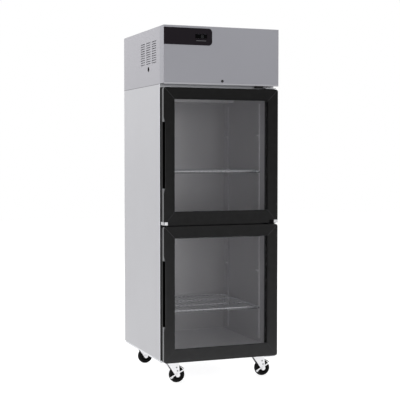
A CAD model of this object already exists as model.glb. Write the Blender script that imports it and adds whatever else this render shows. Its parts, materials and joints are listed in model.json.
# Upright glass door merchandiser: the finish of its sheet metal, glass, rubber and wire,
# its small fittings, and a pale studio. Lengths are in metres. The doors face -Y and hang
# on the right, +X, and the floor is z = 0.

import json
import math

import bmesh
import bpy
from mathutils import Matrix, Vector


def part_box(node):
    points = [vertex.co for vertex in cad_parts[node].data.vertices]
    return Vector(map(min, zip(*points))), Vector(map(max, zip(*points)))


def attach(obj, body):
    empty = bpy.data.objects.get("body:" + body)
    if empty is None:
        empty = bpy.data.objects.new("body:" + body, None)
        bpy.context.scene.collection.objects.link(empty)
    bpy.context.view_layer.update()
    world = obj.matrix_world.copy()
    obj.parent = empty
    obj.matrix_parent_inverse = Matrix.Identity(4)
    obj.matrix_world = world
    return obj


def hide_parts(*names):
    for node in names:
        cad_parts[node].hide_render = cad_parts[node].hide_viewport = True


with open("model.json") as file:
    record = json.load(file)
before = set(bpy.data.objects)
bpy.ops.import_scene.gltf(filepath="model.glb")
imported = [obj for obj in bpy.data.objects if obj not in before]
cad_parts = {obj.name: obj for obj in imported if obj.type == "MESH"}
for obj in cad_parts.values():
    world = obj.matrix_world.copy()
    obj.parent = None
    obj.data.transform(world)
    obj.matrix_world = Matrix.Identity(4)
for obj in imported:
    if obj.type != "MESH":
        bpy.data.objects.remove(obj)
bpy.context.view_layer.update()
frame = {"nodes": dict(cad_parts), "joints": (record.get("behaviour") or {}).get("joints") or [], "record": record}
scene = bpy.context.scene

MM = 0.001

# Camera: where the photographer stood, and the way the lens looked
EYE = (-2.193, -5.768, 1.311)
HEADING = math.radians(20.92)
DIP = math.radians(2.61)
LENS_MM = 92.6
SENSOR_MM = 36

# Studio: strengths of the soft light, of the white behind the object and of the floor
WHITE = (1, 1, 1, 1)
AMBIENT = 0.40
BACKDROP = 1.0
FLOOR_GLOW = 0.83
FLOOR_HALF = 14.0
FLOOR_T = 20 * MM
# Softboxes: name, place, aim, size and watts
SOFTBOXES = (
    ("key", (-3.6, 0.5, 4.2), (0, 0, 1.4), 2.6, 145),
    ("front", (0.0, -5.6, 1.0), (0, 0, 0.9), 3.0, 34),
    ("high", (3.1, -5.4, 3.6), (0, 0, 1.4), 2.6, 28),
    ("back", (4.0, 4.0, 3.0), (0, 0, 1.0), 3.0, 60),
)

# Width over which a mark's edge fades
BLUR = 0.4 * MM
# Edges that turn by more than this stay sharp
CREASE = math.radians(35)


def make_camera():
    data = bpy.data.cameras.new("camera")
    data.lens = LENS_MM
    data.sensor_width = SENSOR_MM
    camera = bpy.data.objects.new("camera", data)
    camera.location = EYE
    camera.rotation_euler = (math.pi / 2 - DIP, 0, -HEADING)
    scene.collection.objects.link(camera)
    scene.camera = camera


make_camera()


# Shader and geometry graphs


class Wire:
    """An output socket. Operators on wires add Math nodes."""

    def __init__(self, graph, socket):
        self.graph = graph
        self.socket = socket

    def math(self, operation, *values):
        return self.graph.node("ShaderNodeMath", {"operation": operation}, dict(enumerate(values)))

    def __add__(self, other):
        return self.math("ADD", self, other)

    def __radd__(self, other):
        return self.math("ADD", other, self)

    def __sub__(self, other):
        return self.math("SUBTRACT", self, other)

    def __rsub__(self, other):
        return self.math("SUBTRACT", other, self)

    def __mul__(self, other):
        return self.math("MULTIPLY", self, other)

    def __rmul__(self, other):
        return self.math("MULTIPLY", other, self)

    def __truediv__(self, other):
        return self.math("DIVIDE", self, other)

    def __pow__(self, other):
        return self.math("POWER", self, other)

    def __gt__(self, other):
        return self.math("GREATER_THAN", self, other)

    def __lt__(self, other):
        return self.math("LESS_THAN", self, other)

    def clamp(self):
        return self.math("MINIMUM", self.math("MAXIMUM", self, 0.0), 1.0)

    def size(self):
        return self.math("ABSOLUTE", self)

    def sine(self):
        return self.math("SINE", self)


class Graph:
    """A node tree in the making."""

    def __init__(self, tree):
        self.tree = tree

    def node(self, kind, settings=None, inputs=None, output=0):
        """Adds a node, sets its settings, then the values or links of its sockets."""
        made = self.tree.nodes.new(kind)
        for name, value in (settings or {}).items():
            setattr(made, name, value)
        for key, value in (inputs or {}).items():
            if isinstance(value, Wire):
                self.tree.links.new(value.socket, made.inputs[key])
            else:
                made.inputs[key].default_value = value
        return Wire(self, made.outputs[output]) if len(made.outputs) else None


class Finish(Graph):
    """A material in the making. Its patterns lie in the object's own metres."""

    def __init__(self, name):
        self.material = bpy.data.materials.new(name)
        self.material.use_nodes = True
        super().__init__(self.material.node_tree)
        self.tree.nodes.clear()

    def place(self, stretch=(1, 1, 1)):
        spot = self.node("ShaderNodeTexCoord", output="Object")
        return self.node("ShaderNodeMapping", inputs={"Vector": spot, "Scale": stretch})

    def along(self, axis):
        spot = self.node("ShaderNodeTexCoord", output="Object")
        return self.node("ShaderNodeSeparateXYZ", inputs={"Vector": spot}, output=axis)

    def above(self, axis, value, blur=BLUR):
        """0 below a height along an axis and 1 above it, over a short blur."""
        return ((self.along(axis) - value) / blur + 0.5).clamp()

    def within(self, axis, low, high, blur=BLUR):
        """1 between two heights along an axis and 0 outside them, over a short blur."""
        away = (self.along(axis) - (low + high) / 2).size()
        return (((high - low) / 2 - away) / blur + 0.5).clamp()

    def noise(self, scale, detail=2.0, stretch=(1, 1, 1), rough=0.5):
        return self.node("ShaderNodeTexNoise", inputs={
            "Vector": self.place(stretch), "Scale": scale, "Detail": detail, "Roughness": rough})

    def cells(self, scale, output="Distance"):
        return self.node("ShaderNodeTexVoronoi", inputs={"Vector": self.place(), "Scale": scale},
                         output=output)

    def mixed(self, share, first, second):
        return self.node("ShaderNodeMix", {"data_type": "RGBA"},
                         {0: share, 6: (*first, 1) if isinstance(first, tuple) else first,
                          7: (*second, 1) if isinstance(second, tuple) else second}, 2)

    def marked(self, colour, marks):
        """Lays marks over a colour. Each is a (mask, tint) pair, such as a seam."""
        for mask, tint in marks:
            colour = self.mixed(mask(self), colour, tint)
        return colour

    def bump(self, height, depth, strength=1.0):
        return self.node("ShaderNodeBump", inputs={"Height": height, "Distance": depth,
                                                   "Strength": strength})

    def close(self, **sockets):
        """Ends the material in a Principled shader with these sockets, spaces as underscores."""
        inputs = {name.replace("_", " "): value for name, value in sockets.items()}
        shader = self.node("ShaderNodeBsdfPrincipled", inputs=inputs)
        self.node("ShaderNodeOutputMaterial", inputs={"Surface": shader})
        return self.material


def linear(red, green, blue):
    """A colour read as screen values from 0 to 255, as the renderer wants it."""
    def one(value):
        share = value / 255
        return share / 12.92 if share <= 0.04045 else ((share + 0.055) / 1.055) ** 2.4
    return (one(red), one(green), one(blue))


def shaded(colour, factor):
    return tuple(min(1.0, part * factor) for part in colour)


# Finishes


def painted_sheet(name, tint, grain_axis=2, roughness=0.38, metallic=0.25, marks=()):
    """Satin painted or pre-coated sheet steel, with a faint rolled grain along one axis."""
    finish = Finish(name)
    stretch = [420.0, 420.0, 420.0]
    stretch[grain_axis] = 5.0
    grain = finish.noise(1.0, 3.0, tuple(stretch))
    clouds = finish.noise(2.2, 2.0)
    peel = finish.noise(900.0, 1.0)
    share = (clouds * 0.7 + grain * 0.3).clamp()
    colour = finish.mixed(share, shaded(tint, 0.94), shaded(tint, 1.06))
    height = grain * 0.5 + peel * 0.5 + clouds * 6.0
    return finish.close(Base_Color=finish.marked(colour, marks), Metallic=metallic,
                        Roughness=roughness - 0.06 + 0.12 * grain,
                        Normal=finish.bump(height, 0.03 * MM))


def galvanised(name, tint):
    """Dull zinc with its spangle."""
    finish = Finish(name)
    spangle = finish.cells(70.0, output="Color")
    patch = finish.node("ShaderNodeSeparateColor", inputs={"Color": spangle})
    fine = finish.noise(500.0, 2.0)
    share = (patch * 0.6 + fine * 0.4).clamp()
    return finish.close(Base_Color=finish.mixed(share, shaded(tint, 0.86), shaded(tint, 1.12)),
                        Metallic=0.75, Roughness=0.32 + 0.2 * patch,
                        Normal=finish.bump(fine, 0.04 * MM))


def bright_zinc(name, tint, roughness=0.24, metallic=0.85, marks=()):
    """Bright plated steel, faintly clouded, with fine drawing marks."""
    finish = Finish(name)
    clouds = finish.noise(60.0, 3.0)
    draws = finish.noise(1.0, 2.0, (90.0, 90.0, 1500.0))
    colour = finish.mixed(clouds, shaded(tint, 0.88), shaded(tint, 1.05))
    return finish.close(Base_Color=finish.marked(colour, marks), Metallic=metallic,
                        Roughness=roughness + 0.16 * draws,
                        Normal=finish.bump(draws, 0.02 * MM))


def drawn_aluminium(name, tint, marks):
    """Mill finish extrusion: fine upright die lines. Its marks are coated, so the metal doesn't
    show there."""
    finish = Finish(name)
    lines = finish.noise(1.0, 3.0, (900.0, 900.0, 3.0))
    clouds = finish.noise(9.0, 2.0)
    share = (lines * 0.6 + clouds * 0.4).clamp()
    colour = finish.marked(finish.mixed(share, shaded(tint, 0.85), shaded(tint, 1.12)), marks)
    bare = 1.0
    for mask, _ in marks:
        bare = bare * (1.0 - mask(finish))
    return finish.close(Base_Color=colour, Metallic=0.6 * bare, Roughness=0.40 + 0.16 * lines,
                        Specular_IOR_Level=0.1, Normal=finish.bump(lines, 0.03 * MM))


def black_extrusion(name, high_tint, low_tint, door, line_tint):
    """Black coated face members: a film of dust that gets thicker towards the floor, and the
    paler line where two members meet at each corner."""
    finish = Finish(name)
    low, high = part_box(door + "_bezel")
    rise = ((finish.along("Z") - DUST_FOOT) / DUST_RISE).clamp() ** DUST_CURVE
    film = finish.noise(26.0, 4.0)
    grain = finish.noise(1400.0, 1.0)
    share = (rise + (film - 0.5) * 0.12).clamp()
    inward = (high.x - finish.along("X").size()) / STILE_W
    upper = (high.z - finish.along("Z")) / RAIL_TOP_W
    lower = (finish.along("Z") - low.z) / RAIL_BOTTOM_W
    corner = finish.node("ShaderNodeMath", {"operation": "MINIMUM"},
                         {0: (inward - upper).size(), 1: (inward - lower).size()})
    line = ((MITRE_WIDTH - corner) / MITRE_BLUR).clamp()
    colour = finish.mixed(share, low_tint, high_tint)
    height = grain * 0.6 + film * 2.0
    return finish.close(Base_Color=finish.mixed(line, colour, line_tint),
                        Roughness=0.44 + 0.10 * film, Specular_IOR_Level=0.10,
                        Normal=finish.bump(height, 0.03 * MM))


def moulded(name, tint, roughness=0.5, grain=1100.0, depth=0.05, shine=0.3, marks=()):
    """Moulded plastic with a fine spark-eroded texture."""
    finish = Finish(name)
    pits = finish.noise(grain, 2.0)
    clouds = finish.noise(14.0, 2.0)
    share = (clouds * 0.6 + pits * 0.4).clamp()
    colour = finish.mixed(share, shaded(tint, 0.8), shaded(tint, 1.2))
    return finish.close(Base_Color=finish.marked(colour, marks),
                        Roughness=roughness - 0.08 + 0.16 * clouds,
                        Specular_IOR_Level=shine, Normal=finish.bump(pits, depth * MM))


def coated_wire(name, tint, lip):
    """Bright drawn wire under a thin, pale clear coat, dull below the height of lip."""
    finish = Finish(name)
    draw = finish.noise(320.0, 2.0)
    wear = finish.noise(24.0, 3.0)
    colour = finish.mixed(wear, shaded(tint, 0.92), shaded(tint, 1.06))
    colour = finish.mixed(1.0 - finish.above("Z", lip), colour, shaded(tint, 0.3))
    return finish.close(Base_Color=colour, Metallic=0.7, Roughness=0.16 + 0.14 * draw,
                        Coat_Weight=0.5, Normal=finish.bump(draw, 0.02 * MM))


def soft_rubber(name, tint, roughness=0.62, shine=0.35):
    """Dull rubber with bloom and dust in patches."""
    finish = Finish(name)
    bloom = finish.noise(38.0, 4.0, rough=0.65)
    pores = finish.noise(1600.0, 1.0)
    share = ((bloom - 0.35) * 1.6).clamp()
    return finish.close(Base_Color=finish.mixed(share, tint, shaded(tint, 2.2)),
                        Roughness=roughness + 0.15 * bloom, Specular_IOR_Level=shine,
                        Normal=finish.bump(pores, 0.05 * MM))


def clear_glass(name):
    """Clean float glass with the faintest smears: it lets the cabinet show through."""
    finish = Finish(name)
    smears = finish.noise(5.0, 3.0, (1.0, 1.0, 0.35))
    colour = finish.mixed(smears, (0.062, 0.062, 0.064), (0.092, 0.092, 0.096))
    return finish.close(Base_Color=colour, Alpha=0.045 + 0.03 * smears,
                        Roughness=0.03 + 0.04 * smears, IOR=1.5)


def enamel(name, tint):
    """Thick glossy paint with orange peel."""
    finish = Finish(name)
    peel = finish.noise(260.0, 1.0)
    dust = finish.noise(30.0, 4.0)
    return finish.close(Base_Color=finish.mixed(dust, tint, shaded(tint, 2.4)),
                        Roughness=0.22 + 0.2 * dust, Coat_Weight=0.4,
                        Normal=finish.bump(peel, 0.10 * MM))


def bare_copper(name):
    finish = Finish(name)
    stain = finish.noise(45.0, 5.0, rough=0.6)
    colour = finish.mixed(((stain - 0.4) * 2.5).clamp(), (0.62, 0.27, 0.14), (0.26, 0.11, 0.06))
    return finish.close(Base_Color=colour, Metallic=0.9, Roughness=0.26 + 0.25 * stain,
                        Normal=finish.bump(stain, 0.04 * MM))


def finned(name, tint, pitch):
    """Thin fins edge on: bright lips with dark gaps between them, along Y."""
    finish = Finish(name)
    wave = (finish.along("Y") * (2 * math.pi / pitch)).sine() * 0.5 + 0.5
    dust = finish.noise(60.0, 3.0)
    colour = finish.mixed(wave, shaded(tint, 0.25), tint)
    return finish.close(Base_Color=colour, Metallic=0.7, Roughness=0.35 + 0.3 * dust,
                        Normal=finish.bump(wave, 0.5 * MM))


def rigid_foam(name, tint):
    finish = Finish(name)
    beads = finish.cells(260.0)
    return finish.close(Base_Color=finish.mixed(beads, shaded(tint, 1.02), shaded(tint, 0.86)),
                        Roughness=0.7 + 0.1 * beads, Normal=finish.bump(beads, 0.25 * MM))


def opal(name):
    finish = Finish(name)
    ribs = (finish.along("Y") * (2 * math.pi / (2.5 * MM))).sine() * 0.5 + 0.5
    frost = finish.noise(700.0, 1.0)
    return finish.close(Base_Color=finish.mixed(frost, (0.78, 0.79, 0.80), (0.90, 0.91, 0.93)),
                        Roughness=0.30 + 0.1 * frost, Normal=finish.bump(ribs, 0.15 * MM))


def lit_segments(name):
    """Pale digits behind the smoked window."""
    finish = Finish(name)
    glow = finish.noise(900.0, 1.0)
    colour = finish.mixed(glow, (0.030, 0.032, 0.034), (0.050, 0.052, 0.055))
    return finish.close(Base_Color=colour, Emission_Color=colour, Emission_Strength=0.5,
                        Roughness=0.5, Specular_IOR_Level=0.1)


# Widths of the doors' face members
STILE_W = 63.5 * MM
RAIL_TOP_W = 66 * MM
RAIL_BOTTOM_W = 75 * MM
# Dust on them: the height where it is thickest, how far up it goes, and how it fades
DUST_FOOT = 0.13
DUST_RISE = 1.55
DUST_CURVE = 0.2
# The line at their mitres, as shares of a member's width
MITRE_WIDTH = 0.034
MITRE_BLUR = 0.012

# The shadow line at the foot of the canopy, on the casing and on the canopy
SEAM_BELOW = 2.6 * MM
SEAM_ABOVE = 0.8 * MM
# Black of the door frame: how far it stays from its side, and above the upper door
SIDE_SKIN = 0.6 * MM
HEAD_STRIP = 2 * MM
# Shaded height of the top hinge bracket
SHADE_H = 20 * MM
# Height of the black ends of the doors' cores on each side of the gap between the doors
CORE_END = 7 * MM
# Where the black break behind the bright strip of a core begins
BREAK_Y = -357 * MM
# The line under the display: its inset, its top and its foot
LINE_INSET = 6 * MM
LINE_TOP = 11 * MM
LINE_FOOT = 14 * MM
# The liner's floor sheet, and the parting line of a corner block: its width and its depth
FLOOR_SHEET = 1.2 * MM
PARTING_W = 2.2 * MM
PARTING_D = 4 * MM

SILVER = linear(191, 191, 195)
CANOPY = linear(170, 169, 175)
HOOD = linear(158, 158, 165)
LINER = linear(206, 205, 208)
PILASTER = shaded(LINER, 1.2)
FRAME = linear(214, 215, 220)
STEEL = linear(205, 206, 210)
TRIM = linear(177, 177, 182)
WIRE = linear(232, 233, 238)
FACE_HIGH, FACE_LOW = linear(13, 13, 13), linear(87, 87, 88)

# Shelves, and the depth of the bright lip of their front wires
SHELVES = ("shelf_upper", "shelf_middle", "shelf_lower")
SHELF_LIP = 9.5 * MM

canopy_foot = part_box("canopy_shell")[0].z
door_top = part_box("upper_door_bezel")[1].z
cabinet_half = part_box("outer_casing")[1].x
door_line = (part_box("lower_door_bezel")[1].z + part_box("upper_door_bezel")[0].z) / 2
body_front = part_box("breaker_frame")[0].y
block_low, block_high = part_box("upper_door_corner_blocks")
liner_low, liner_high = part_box("inner_liner")


def seam_below(finish):
    """The shadow line on the casing, just under the canopy."""
    return finish.above("Z", canopy_foot - SEAM_BELOW)


def seam_above(finish):
    """The same shadow line on the foot of the canopy."""
    return 1.0 - finish.above("Z", canopy_foot + SEAM_ABOVE)


def under_door_head(finish):
    """The black part of the door frame: not the strip over the upper door, nor the outer sides."""
    side = finish.along("X").size() > cabinet_half - SIDE_SKIN
    return (1.0 - finish.above("Z", door_top + HEAD_STRIP)) * (1.0 - side)


def over_doors(finish):
    """The top hinge bracket, in the shade of the hood."""
    return finish.above("Z", door_top - SHADE_H)


def between_doors(finish):
    """Near the gap between the two doors."""
    return finish.within("Z", door_line - 2 * CORE_END, door_line + 2 * CORE_END)


def door_ends(finish):
    """The black parts of a door's core: the ends at the gap between the doors, the break
    behind the bright strip, and the lining beside the grip."""
    ends = finish.within("Z", door_line - CORE_END, door_line + CORE_END)
    behind = finish.above("Y", BREAK_Y)
    beside = 0.0
    for door in ("upper_door", "lower_door"):
        low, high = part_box(door + "_grip")
        beside = beside + finish.within("Z", low.z, high.z) * (finish.along("X") < high.x)
    return (ends + behind + beside).clamp()


def fascia_line(finish):
    """The plain grey line printed under the display."""
    low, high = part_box("display_window")
    return (finish.within("X", low.x + LINE_INSET, high.x - LINE_INSET)
            * finish.within("Z", low.z - LINE_FOOT, low.z - LINE_TOP))


def liner_floor(finish):
    """The floor sheet of the liner."""
    return 1.0 - finish.above("Z", liner_low.z + FLOOR_SHEET, MM)


def block_edge(finish):
    """The parting line along the outer front edge of a corner block."""
    side = finish.along("X").size() > block_high.x - PARTING_W
    return side * (1.0 - finish.above("Y", block_low.y + PARTING_D, MM))


finishes = {
    "casing_silver": painted_sheet("casing_silver", SILVER,
                                   marks=((seam_below, linear(105, 104, 110)),)),
    "foam": rigid_foam("foam", (0.85, 0.76, 0.42)),
    "liner_grey": painted_sheet("liner_grey", LINER, roughness=0.32, metallic=0.35,
                                marks=((liner_floor, linear(250, 250, 252)),)),
    "frame_grey": painted_sheet("frame_grey", FRAME, roughness=0.3,
                                marks=((under_door_head, linear(30, 30, 32)),)),
    "base_grey": galvanised("base_grey", linear(222, 223, 226)),
    "bumper_black": soft_rubber("bumper_black", linear(20, 20, 21)),
    "hinge_steel": bright_zinc("hinge_steel", STEEL,
                               marks=((over_doors, linear(150, 150, 153)),
                                      (between_doors, linear(8, 8, 9)))),
    "switch_black": moulded("switch_black", linear(20, 20, 22)),
    "pilaster_steel": painted_sheet("pilaster_steel", PILASTER, roughness=0.5, metallic=0.1),
    "clip_steel": bright_zinc("clip_steel", linear(246, 246, 248), 0.3, 0.2),
    "lamp_white": opal("lamp_white"),
    "zinc_steel": bright_zinc("zinc_steel", linear(236, 236, 238), 0.26),
    "canopy_grey": painted_sheet("canopy_grey", CANOPY,
                                 marks=((seam_above, linear(110, 109, 116)),)),
    "hood_grey": painted_sheet("hood_grey", HOOD, grain_axis=0),
    "fascia_black": moulded("fascia_black", linear(30, 25, 31), 0.5, 1500.0, 0.03, 0.08,
                            ((fascia_line, linear(120, 118, 122)),)),
    "display_black": moulded("display_black", linear(4, 4, 5), 0.2, 40.0, 0.01, 0.02),
    "tray_steel": galvanised("tray_steel", linear(160, 161, 165)),
    "compressor_black": enamel("compressor_black", linear(22, 22, 24)),
    "coil_fins": finned("coil_fins", linear(190, 192, 196), 2.2 * MM),
    "fan_black": moulded("fan_black", linear(38, 38, 40), 0.45),
    "copper": bare_copper("copper"),
    "box_white": rigid_foam("box_white", linear(225, 225, 222)),
    "door_silver": drawn_aluminium("door_silver", linear(132, 133, 135),
                                   marks=((door_ends, linear(9, 9, 10)),)),
    "door_inner_black": moulded("door_inner_black", linear(18, 18, 20), 0.5, shine=0.05),
    "door_glass": clear_glass("door_glass"),
    "gasket_black": soft_rubber("gasket_black", linear(18, 18, 20), 0.6, 0.08),
    "grip_black": moulded("grip_black", linear(3, 3, 3), 0.6, shine=0.02),
    "block_silver": bright_zinc("block_silver", linear(196, 196, 198), 0.3,
                                marks=((block_edge, linear(30, 30, 32)),)),
    "wheel_black": soft_rubber("wheel_black", linear(5, 5, 5), 0.55, 0.12),
}
segments = lit_segments("display_segments")
guard_grey = bright_zinc("guard_grey", linear(140, 140, 142), 0.4, 0.5)
own_finishes = {
    **{name: coated_wire(name + "_wire", WIRE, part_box(name)[1].z - SHELF_LIP) for name in SHELVES},
    "duct_cover": painted_sheet("duct_cover_grey", linear(246, 246, 248), 0, 0.34, 0.2),
    "upper_door_bezel": black_extrusion("upper_door_black", FACE_HIGH, FACE_LOW, "upper_door",
                                        linear(58, 58, 60)),
    "lower_door_bezel": black_extrusion("lower_door_black", FACE_HIGH, FACE_LOW, "lower_door",
                                        linear(72, 72, 74)),
}


def dress_nodes():
    """Each carried-over piece takes the finish of its slot in the record."""
    slots = {part["node"]: part["material_slot"] for part in frame["record"]["subparts"]}
    for name, obj in frame["nodes"].items():
        obj.data.materials.clear()
        obj.data.materials.append(own_finishes.get(name) or finishes[slots[name]])


dress_nodes()


# Making pieces


class Form:
    """A mesh in the making, in the place that it has on the object."""

    def __init__(self):
        self.mesh = bmesh.new()

    def block(self, low, high, edge=0.0, steps=2):
        """A box between two corners, with its edges rounded."""
        low, high = Vector(low), Vector(high)
        made = bmesh.ops.create_cube(self.mesh, size=1.0)["verts"]
        bmesh.ops.scale(self.mesh, vec=high - low, verts=made)
        bmesh.ops.translate(self.mesh, vec=(low + high) / 2, verts=made)
        if edge:
            sides = list({e for v in made for e in v.link_edges})
            bmesh.ops.bevel(self.mesh, geom=sides, offset=edge, segments=steps, profile=0.6,
                            affect="EDGES", clamp_overlap=True)
        return self

    def turned(self, profile, centre, axis, sides=48):
        """A profile of (radius, height) pairs turned about an axis through centre."""
        turn = Vector(axis).to_track_quat("Z", "Y").to_matrix()
        centre = Vector(centre)
        rings = []
        for side in range(sides):
            angle = 2 * math.pi * side / sides
            spoke = Vector((math.cos(angle), math.sin(angle), 0))
            rings.append([self.mesh.verts.new(centre + turn @ (spoke * r + Vector((0, 0, h))))
                          for r, h in profile])
        made = [v for ring in rings for v in ring]
        for side, ring in enumerate(rings):
            other = rings[(side + 1) % sides]
            for i in range(len(profile) - 1):
                self.mesh.faces.new((ring[i], other[i], other[i + 1], ring[i + 1]))
        bmesh.ops.remove_doubles(self.mesh, verts=made, dist=0.002 * MM)
        return self

    def swept(self, section, path, up, closed=True):
        """A section of (side, up) pairs carried along a flat path."""
        up = Vector(up)
        count = len(path)
        loops = []
        for i, point in enumerate(path):
            point = Vector(point)
            before = Vector(path[i - 1]) if closed or i else point
            after = Vector(path[(i + 1) % count]) if closed or i < count - 1 else point
            ahead = (after - before).normalized()
            side = ahead.cross(up)
            loops.append([self.mesh.verts.new(point + side * u + up * v) for u, v in section])
        spans = count if closed else count - 1
        for i in range(spans):
            here, there = loops[i], loops[(i + 1) % count]
            for k in range(len(section)):
                n = (k + 1) % len(section)
                self.mesh.faces.new((here[k], here[n], there[n], there[k]))
        if not closed:
            self.mesh.faces.new(loops[0])
            self.mesh.faces.new(loops[-1])
        return self

    def bent(self, section, centre, first, last, steps=12):
        """A section of (radius, y) pairs carried about a centre, between two angles."""
        loops = []
        for i in range(steps + 1):
            angle = math.radians(first + (last - first) * i / steps)
            loops.append([self.mesh.verts.new((centre.x + r * math.cos(angle), y,
                                               centre.z + r * math.sin(angle)))
                          for r, y in section])
        for here, there in zip(loops, loops[1:]):
            for k in range(len(section)):
                n = (k + 1) % len(section)
                self.mesh.faces.new((here[k], here[n], there[n], there[k]))
        self.mesh.faces.new(loops[0])
        self.mesh.faces.new(loops[-1])
        return self

    def mesh_data(self, name):
        bmesh.ops.recalc_face_normals(self.mesh, faces=self.mesh.faces)
        for face in self.mesh.faces:
            face.smooth = True
        for edge in self.mesh.edges:
            if len(edge.link_faces) == 2 and edge.calc_face_angle() > CREASE:
                edge.smooth = False
        data = bpy.data.meshes.new(name)
        self.mesh.to_mesh(data)
        self.mesh.free()
        return data

    def piece(self, name, body, slot, finish=None):
        """Ends the form as a piece of the object that moves with a body."""
        data = self.mesh_data(name)
        data.materials.append(finish or finishes[slot])
        made = bpy.data.objects.new(name, data)
        scene.collection.objects.link(made)
        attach(made, body)
        return made


def ring_path(x0, x1, z0, z1, y, radius, steps=6):
    """A rectangle with round corners in a plane that faces the front."""
    path = []
    corners = [(x1 - radius, z1 - radius, 0), (x0 + radius, z1 - radius, 90),
               (x0 + radius, z0 + radius, 180), (x1 - radius, z0 + radius, 270)]
    for x, z, first in corners:
        for i in range(steps + 1):
            angle = math.radians(first + 90 * i / steps)
            path.append((x + radius * math.cos(angle), y, z + radius * math.sin(angle)))
    return path


# Fasteners, set out by a geometry tree


def fastener_tree():
    """Points that carry the way they face get one fastener each."""
    tree = bpy.data.node_groups.new("fasteners", "GeometryNodeTree")
    face = tree.interface
    face.new_socket("Places", in_out="INPUT", socket_type="NodeSocketGeometry")
    face.new_socket("Fastener", in_out="INPUT", socket_type="NodeSocketObject")
    face.new_socket("Head diameter", in_out="INPUT", socket_type="NodeSocketFloat")
    face.new_socket("Finish", in_out="INPUT", socket_type="NodeSocketMaterial")
    face.new_socket("Pieces", in_out="OUTPUT", socket_type="NodeSocketGeometry")
    graph = Graph(tree)
    entry = tree.nodes.new("NodeGroupInput")
    given = {socket.name: Wire(graph, socket) for socket in entry.outputs if socket.name}
    facing = graph.node("GeometryNodeInputNamedAttribute", {"data_type": "FLOAT_VECTOR"},
                        {"Name": "facing"})
    turn = graph.node("FunctionNodeAlignRotationToVector", {"axis": "Z"}, {"Vector": facing})
    shape = graph.node("GeometryNodeObjectInfo", inputs={"Object": given["Fastener"]},
                       output="Geometry")
    heads = graph.node("GeometryNodeInstanceOnPoints", inputs={
        "Points": given["Places"], "Instance": shape, "Rotation": turn,
        "Scale": given["Head diameter"]})
    solid = graph.node("GeometryNodeRealizeInstances", inputs={"Geometry": heads})
    dressed = graph.node("GeometryNodeSetMaterial", inputs={"Geometry": solid,
                                                            "Material": given["Finish"]})
    graph.node("NodeGroupOutput", inputs={0: dressed})
    return tree


FASTENERS = fastener_tree()


def grown(name, tree, data, values, body):
    """Runs a geometry tree on a mesh and keeps what comes out as a plain mesh."""
    host = bpy.data.objects.new(name, data)
    scene.collection.objects.link(host)
    modifier = host.modifiers.new("grow", "NODES")
    modifier.node_group = tree
    for item in tree.interface.items_tree:
        if item.name in values:
            modifier[item.identifier] = values[item.name]
    depsgraph = bpy.context.evaluated_depsgraph_get()
    result = bpy.data.meshes.new_from_object(host.evaluated_get(depsgraph))
    host.modifiers.clear()
    host.data = result
    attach(host, body)
    return host


def cross_head():
    """A pan head screw of unit diameter with a cross recess, standing on z = 0."""
    form = Form()
    profile = [(0.5, 0.0), (0.5, 0.10), (0.44, 0.22), (0.30, 0.30), (0.0, 0.33)]
    form.turned(profile, (0, 0, 0), (0, 0, 1), 20)
    for turn in (0, 1):
        size = (0.26, 0.055) if turn else (0.055, 0.26)
        form.block((-size[0], -size[1], 0.30), (size[0], size[1], 0.345))
    return form


def hexagon_head():
    """A hexagon bolt head of unit width with its washer."""
    form = Form()
    form.turned([(0.62, 0.0), (0.62, 0.08), (0.0, 0.08)], (0, 0, 0), (0, 0, 1), 24)
    form.turned([(0.56, 0.08), (0.56, 0.40), (0.48, 0.46), (0.0, 0.46)], (0, 0, 0), (0, 0, 1), 6)
    return form


def rivet_head():
    form = Form()
    profile = [(0.5, 0.0), (0.48, 0.12), (0.36, 0.24), (0.16, 0.29), (0.14, 0.24), (0.0, 0.24)]
    return form.turned(profile, (0, 0, 0), (0, 0, 1), 18)


def fasten(name, head, diameter, places, body="cabinet", slot="zinc_steel", finish=None):
    """One piece of fasteners: places are (point, way it faces) pairs."""
    template = bpy.data.objects.new("template", head().mesh_data("template"))
    scene.collection.objects.link(template)
    data = bpy.data.meshes.new(name)
    data.from_pydata([point for point, _ in places], [], [])
    facing = data.attributes.new("facing", "FLOAT_VECTOR", "POINT")
    for value, (_, way) in zip(facing.data, places):
        value.vector = way
    made = grown(name, FASTENERS, data, {
        "Fastener": template, "Head diameter": diameter,
        "Finish": finish or finishes[slot]}, body)
    bpy.data.objects.remove(template)
    return made


# Lengths that the boxes of the solids don't tell: the height of a spare clip, the legs of a
# fork beside its wheel, and the fold of the back panel
SPARE_CLIP_Z = 0.622
LEG_GAP = 3 * MM
LEG_T = 3 * MM
PANEL_FOLD = 0.9 * MM

RIGHT = (1, 0, 0)
FRONT, BACK = (0, -1, 0), (0, 1, 0)
DOWN, UP = (0, 0, -1), (0, 0, 1)

cabinet_low, cabinet_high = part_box("outer_casing")
canopy_low, canopy_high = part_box("canopy_shell")


# Cabinet fittings


def hinge_screws():
    """Screws in the flange of the top hinge bracket."""
    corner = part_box("hinge_brackets")[1]
    flange_w, flange_t, drop = 72 * MM, 4 * MM, 6 * MM
    places = [((corner.x - flange_w + flange_w * share, body_front - flange_t, corner.z - drop),
               FRONT) for share in (0.22, 0.50, 0.78)]
    fasten("hinge_screws", cross_head, 7 * MM, places)


def caster_bolts():
    """Four hexagon bolts through each caster plate."""
    plate_t, half_x, half_y = 3 * MM, 36.5 * MM, 24 * MM
    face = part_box("caster_plates")[1].z - plate_t
    swivels = [joint["pos_m"] for joint in frame["joints"] if joint["name"].startswith("swivel_")]
    places = [((x + sx * half_x, y + sy * half_y, face), DOWN)
              for x, y, _ in swivels for sx in (-1, 1) for sy in (-1, 1)]
    fasten("caster_bolts", hexagon_head, 12 * MM, places)


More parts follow.
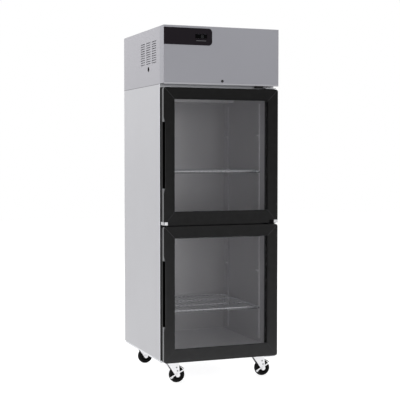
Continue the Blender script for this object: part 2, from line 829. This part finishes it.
def canopy_screws():
    """Screws along the top and the foot of the canopy's back panel."""
    inset = 16 * MM
    places = [((canopy_low.x + (canopy_high.x - canopy_low.x) * share, canopy_high.y, z), BACK)
              for share in (0.06, 0.28, 0.50, 0.72, 0.94)
              for z in (canopy_low.z + inset, canopy_high.z - inset)]
    fasten("canopy_screws", cross_head, 7 * MM, places)


def back_trim():
    """Folded edges of the casing's back panel, standing a sheet's thickness proud."""
    width, inset = 18 * MM, 1.5 * MM
    low, high = cabinet_low, cabinet_high
    y0, y1 = high.y, high.y + PANEL_FOLD
    form = Form()
    for x0 in (low.x + inset, high.x - inset - width):
        form.block((x0, y0, low.z + inset), (x0 + width, y1, high.z - inset), PANEL_FOLD / 3)
    for z0 in (low.z + inset, high.z - inset - width):
        form.block((low.x + inset + width, y0, z0), (high.x - inset - width, y1, z0 + width),
                   PANEL_FOLD / 3)
    form.piece("back_panel_edges", "cabinet", "casing_silver")


def back_rivets():
    """Blind rivets along the folded edges of the back panel."""
    low, high = cabinet_low, cabinet_high
    edge = 10.5 * MM
    rows, columns = 12, 5
    y = high.y + PANEL_FOLD
    places = []
    for i in range(rows + 1):
        z = low.z + edge + (high.z - low.z - 2 * edge) * i / rows
        places += [((x, y, z), BACK) for x in (low.x + edge, high.x - edge)]
    for i in range(1, columns):
        x = low.x + edge + (high.x - low.x - 2 * edge) * i / columns
        places += [((x, y, z), BACK) for z in (low.z + edge, high.z - edge)]
    fasten("back_rivets", rivet_head, 6 * MM, places)


def blank_plate():
    """A bare rating plate on the back, with its four rivets."""
    size = Vector((120 * MM, 0.8 * MM, 70 * MM))
    low = Vector((90 * MM, cabinet_high.y, 1.54))
    high = low + size
    Form().block(low, high, 0.3 * MM).piece("blank_plate", "cabinet", "zinc_steel")
    edge = 6 * MM
    places = [((x, high.y, z), BACK) for x in (low.x + edge, high.x - edge)
              for z in (low.z + edge, high.z - edge)]
    fasten("plate_rivets", rivet_head, 4 * MM, places)


def rolled_edge():
    """A short round bar of unit length along X with eased ends, its top at z = 0."""
    radius = 0.13
    profile = [(0.0, -0.5), (radius * 0.8, -0.5), (radius, -0.46), (radius, 0.46),
               (radius * 0.8, 0.5), (0.0, 0.5)]
    return Form().turned(profile, (0, 0, -radius), RIGHT, 16)


def clip_tips():
    """Rolled front edges of all shelf clips, used ones and spare ones."""
    low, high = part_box("shelf_clips")
    width, drop = 20 * MM, 9.7 * MM
    middle = high.x - width / 2
    front_y, rear_y = low.y - 0.05 * width, high.y - 0.75 * width
    rows = [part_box(name)[1].z - drop for name in SHELVES]
    rows += [high.z, SPARE_CLIP_Z]
    places = [((side * middle, y, z), UP) for side in (-1, 1) for z in rows
              for y in (front_y, rear_y)]
    fasten("clip_tips", rolled_edge, width, places, "cabinet", "clip_steel")


def floor_bead():
    """Half round bead along the back of the liner floor."""
    radius = 4 * MM
    inset = 0.5 * MM
    arc = [(radius * math.sin(math.radians(a)), radius * math.cos(math.radians(a)))
           for a in range(-90, 91, 15)]
    path = [(x, liner_high.y - radius, liner_low.z + inset)
            for x in (liner_low.x + radius, liner_high.x - radius)]
    form = Form().swept(arc, path, UP, closed=False)
    form.piece("floor_bead", "cabinet", "clip_steel")


def flush_head():
    """A flush screw head of unit diameter with a round socket."""
    profile = [(0.5, 0.0), (0.48, 0.08), (0.22, 0.10), (0.17, 0.03), (0.0, 0.03)]
    return Form().turned(profile, (0, 0, 0), (0, 0, 1), 20)


def top_screws():
    """Flush screws along the back and the sides of the canopy top."""
    low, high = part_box("canopy_top")
    inset, sunk = 12 * MM, 0.8 * MM
    z = high.z - sunk
    places = [((low.x + (high.x - low.x) * share, high.y - inset, z), UP)
              for share in (0.1, 0.37, 0.63, 0.9)]
    places += [((side * (high.x - inset), low.y + (high.y - low.y) * share, z), UP)
               for side in (-1, 1) for share in (0.12, 0.40, 0.68)]
    fasten("top_screws", flush_head, 8 * MM, places)


def wheel_guards():
    """A bent guard over the tread of each braked wheel, held between the legs of its fork."""
    clear, sheet, lip, lip_t = 3.4 * MM, 2.6 * MM, 2 * MM, 1.6 * MM
    for side in ("left", "right"):
        low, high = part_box("wheel_front_" + side)
        axle = (low + high) / 2
        inner = (high.z - low.z) / 2 + clear
        outer = inner + sheet
        half = (high.y - low.y) / 2 + LEG_GAP
        front, back = axle.y - half, axle.y + half
        form = Form()
        for foot, y1 in ((inner, back), (inner - lip, front + lip_t)):
            form.bent([(foot, front), (outer, front), (outer, y1), (foot, y1)], axle, 42, 86)
        form.piece("wheel_guard_" + side, "caster_front_" + side, "zinc_steel", guard_grey)


def fork_bolts():
    """Bolt heads on the outer face of each front fork leg."""
    spots = ((-7 * MM, 44 * MM), (-1 * MM, 24 * MM))
    for side in ("left", "right"):
        low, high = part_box("wheel_front_" + side)
        axle = (low + high) / 2
        places = [((axle.x + x, low.y - LEG_GAP - LEG_T, axle.z + z), FRONT) for x, z in spots]
        fasten("fork_bolts_" + side, hexagon_head, 7 * MM, places, "caster_front_" + side,
               "zinc_steel", guard_grey)


def lamp_ends():
    """Black end caps of the two lamps."""
    low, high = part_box("lamp_strips")
    mullion_low, mullion_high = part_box("mullion")
    cap, rim, gap = 14 * MM, 0.8 * MM, 10 * MM
    form = Form()
    for bottom, top in ((low.z, mullion_low.z - gap), (mullion_high.z + gap, high.z)):
        for z in (bottom, top - cap):
            form.block((low.x + rim / 8, low.y - rim, z), (high.x + rim, high.y + rim, z + cap),
                       rim)
    form.piece("lamp_end_caps", "cabinet", "switch_black")


hinge_screws()
caster_bolts()
canopy_screws()
back_trim()
back_rivets()
blank_plate()
top_screws()
wheel_guards()
fork_bolts()
clip_tips()
floor_bead()
lamp_ends()


# Machine compartment

# Half the width and half the thickness of a condenser fin, as shares of its height
FIN_HALF_W, FIN_HALF_T = 0.018, 0.0007


def fin():
    """One thin fin of unit height, standing on z = 0."""
    return Form().block((-FIN_HALF_W, -FIN_HALF_T, 0), (FIN_HALF_W, FIN_HALF_T, 1))


def condenser_fins():
    """Thin fins between the ribs of the condenser, on both of its faces."""
    low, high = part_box("condenser_coil")
    rib, margin = 10 * MM, 6 * MM
    height = high.z - low.z - 2 * margin
    reach = FIN_HALF_W * height
    places = [((x, low.y + i * rib + dy, low.z + margin), UP)
              for i in range(1, int((high.y - low.y) / rib)) for dy in (-MM, MM)
              for x in (low.x + reach, high.x - reach)]
    fasten("condenser_fins", fin, height, places, slot="coil_fins")


def fan_guard():
    """Wire rings across the arms of the condenser fan's shroud."""
    low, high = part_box("condenser_coil")
    arm_l, wire = 31.5 * MM, 1.2 * MM
    centre = (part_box("fan_shroud")[0].x + arm_l, (low.y + high.y) / 2, (low.z + high.z) / 2)
    form = Form()
    for radius in range(50, 107, 8):
        ring = [(radius * MM + wire * math.cos(math.radians(a)),
                 wire * 0.8 + wire * math.sin(math.radians(a))) for a in range(0, 361, 60)]
        form.turned(ring, centre, RIGHT, 56)
    form.piece("fan_guard", "cabinet", "zinc_steel")


def compressor_band():
    """The welded joint round the compressor's shell."""
    low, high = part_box("compressor")
    radius, rise = 76 * MM, 76 * MM
    half, proud, ease, sunk = 4 * MM, 2 * MM, 1 * MM, 2 * MM
    centre = ((low.x + high.x) / 2, high.y - radius, low.z + rise)
    form = Form()
    form.turned([(radius - sunk, -half), (radius + proud - ease, -half),
                 (radius + proud, ease - half), (radius + proud, half - ease),
                 (radius + proud - ease, half), (radius - sunk, half)], centre, UP, 64)
    form.piece("compressor_band", "cabinet", "compressor_black")


def unit_fasteners():
    """Screws in the lid of the control box and bolts in the front lip of the tray."""
    low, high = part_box("control_box")
    edge, lip = 8 * MM, 6.5 * MM
    places = [((x, y, high.z), UP) for x in (low.x + edge, high.x - edge)
              for y in (low.y + edge, high.y - edge)]
    fasten("control_box_screws", cross_head, 7 * MM, places)
    low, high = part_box("unit_tray")
    places = [((share * high.x, low.y, low.z + lip), FRONT) for share in (-0.86, -0.3, 0.3, 0.86)]
    fasten("tray_bolts", hexagon_head, 7 * MM, places)


condenser_fins()
fan_guard()
compressor_band()
unit_fasteners()


# Doors


def gasket(door):
    """Bellows gasket of a door: its folds and its magnet tube, with small round corners."""
    low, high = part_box(door + "_gasket")
    depth = high.y - low.y
    width = 16 * MM
    half = width / 2
    section = [(-half, 0.0), (-half, 0.18), (-0.6 * half, 0.30), (-half, 0.44), (-0.6 * half, 0.58),
               (-half, 0.70), (-half, 1.0), (half, 1.0), (half, 0.70), (0.5 * half, 0.58),
               (half, 0.44), (0.5 * half, 0.30), (half, 0.18), (half, 0.0)]
    section = [(u, v * depth) for u, v in section]
    path = ring_path(low.x + half, high.x - half, low.z + half, high.z - half, low.y, 3 * MM, 4)
    made = Form().swept(section, path, BACK).piece(door + "_gasket_bellows", door, "gasket_black")
    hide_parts(door + "_gasket")


gasket("upper_door")
gasket("lower_door")


# Hood


def display_digits():
    """Two plain digits behind the smoked window."""
    low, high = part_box("display_window")
    height = (high.z - low.z) * 0.56
    wide = height * 0.52
    stroke = height * 0.13
    step = wide * 1.35
    face = low.y - 0.25 * MM
    # Column, row and whether it lies flat, of each bar of a digit
    bars = {"a": (0, 2, 1), "b": (1, 1, 0), "c": (1, 0, 0), "d": (0, 0, 1), "e": (0, 0, 0),
            "f": (0, 1, 0), "g": (0, 1, 1)}
    digits = {"3": "abcdg", "8": "abcdefg"}
    form = Form()
    x = (low.x + high.x) / 2 - wide * 0.4
    z = (low.z + high.z) / 2 - height / 2
    for digit in "38":
        for bar in digits[digit]:
            column, row, flat = bars[bar]
            if flat:
                z0 = z + row * (height - stroke) / 2
                form.block((x + stroke, face, z0), (x + wide - stroke, low.y, z0 + stroke))
            else:
                x0 = x + column * (wide - stroke)
                z0 = z + row * height / 2 + stroke / 2
                form.block((x0, face, z0), (x0 + stroke, low.y, z0 + height / 2 - stroke))
        x += step
    form.piece("display_digits", "hood", "display_black", segments)


def hood_lip():
    """Edge trim clipped on the lower edge of the hood's front."""
    low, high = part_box("hood")
    inset, front, back, drop, rise = 1 * MM, 1.1 * MM, 2.6 * MM, 5 * MM, 4 * MM
    form = Form()
    form.block((low.x + inset, low.y - front, low.z - drop),
               (high.x - inset, low.y + back, low.z + rise), 0.9 * MM, 3)
    form.piece("hood_edge_trim", "hood", "hood_grey", painted_sheet("trim_grey", TRIM, 0, 0.4))


display_digits()
hood_lip()


# Studio


def studio_floor():
    form = Form()
    form.block((-FLOOR_HALF, -FLOOR_HALF, -FLOOR_T), (FLOOR_HALF, FLOOR_HALF, 0))
    floor = bpy.data.objects.new("floor", form.mesh_data("floor"))
    scene.collection.objects.link(floor)
    finish = Finish("floor")
    grit = finish.noise(3.0, 2.0)
    colour = finish.mixed(grit, (0.50, 0.50, 0.50), (0.52, 0.52, 0.52))
    matt = finish.node("ShaderNodeBsdfDiffuse", inputs={"Color": colour})
    glow = finish.node("ShaderNodeEmission", inputs={"Color": WHITE, "Strength": FLOOR_GLOW})
    bright = finish.node("ShaderNodeAddShader", inputs={0: matt, 1: glow})
    shown = seen_rays(finish)
    mix = finish.node("ShaderNodeMixShader", inputs={0: shown, 1: matt, 2: bright})
    finish.node("ShaderNodeOutputMaterial", inputs={"Surface": mix})
    floor.data.materials.append(finish.material)


def seen_rays(graph):
    """1 for rays from the camera, from gloss and through glass."""
    camera = graph.node("ShaderNodeLightPath", output="Is Camera Ray")
    gloss = graph.node("ShaderNodeLightPath", output="Is Glossy Ray")
    glass = graph.node("ShaderNodeLightPath", output="Is Transmission Ray")
    return (camera + gloss + glass).clamp()


def studio_world():
    world = bpy.data.worlds.new("studio")
    world.use_nodes = True
    scene.world = world
    graph = Graph(world.node_tree)
    world.node_tree.nodes.clear()
    soft = graph.node("ShaderNodeBackground", inputs={"Color": WHITE, "Strength": AMBIENT})
    white = graph.node("ShaderNodeBackground", inputs={"Color": WHITE, "Strength": BACKDROP})
    mix = graph.node("ShaderNodeMixShader", inputs={0: seen_rays(graph), 1: soft, 2: white})
    graph.node("ShaderNodeOutputWorld", inputs={"Surface": mix})


def softbox(name, place, aim, size, watts):
    data = bpy.data.lights.new(name, "AREA")
    data.shape = "SQUARE"
    data.size = size
    data.energy = watts
    lamp = bpy.data.objects.new(name, data)
    lamp.location = place
    lamp.rotation_euler = (Vector(aim) - Vector(place)).to_track_quat("-Z", "Y").to_euler()
    scene.collection.objects.link(lamp)


studio_floor()
studio_world()
for box in SOFTBOXES:
    softbox(*box)

scene.view_settings.view_transform = "Standard"
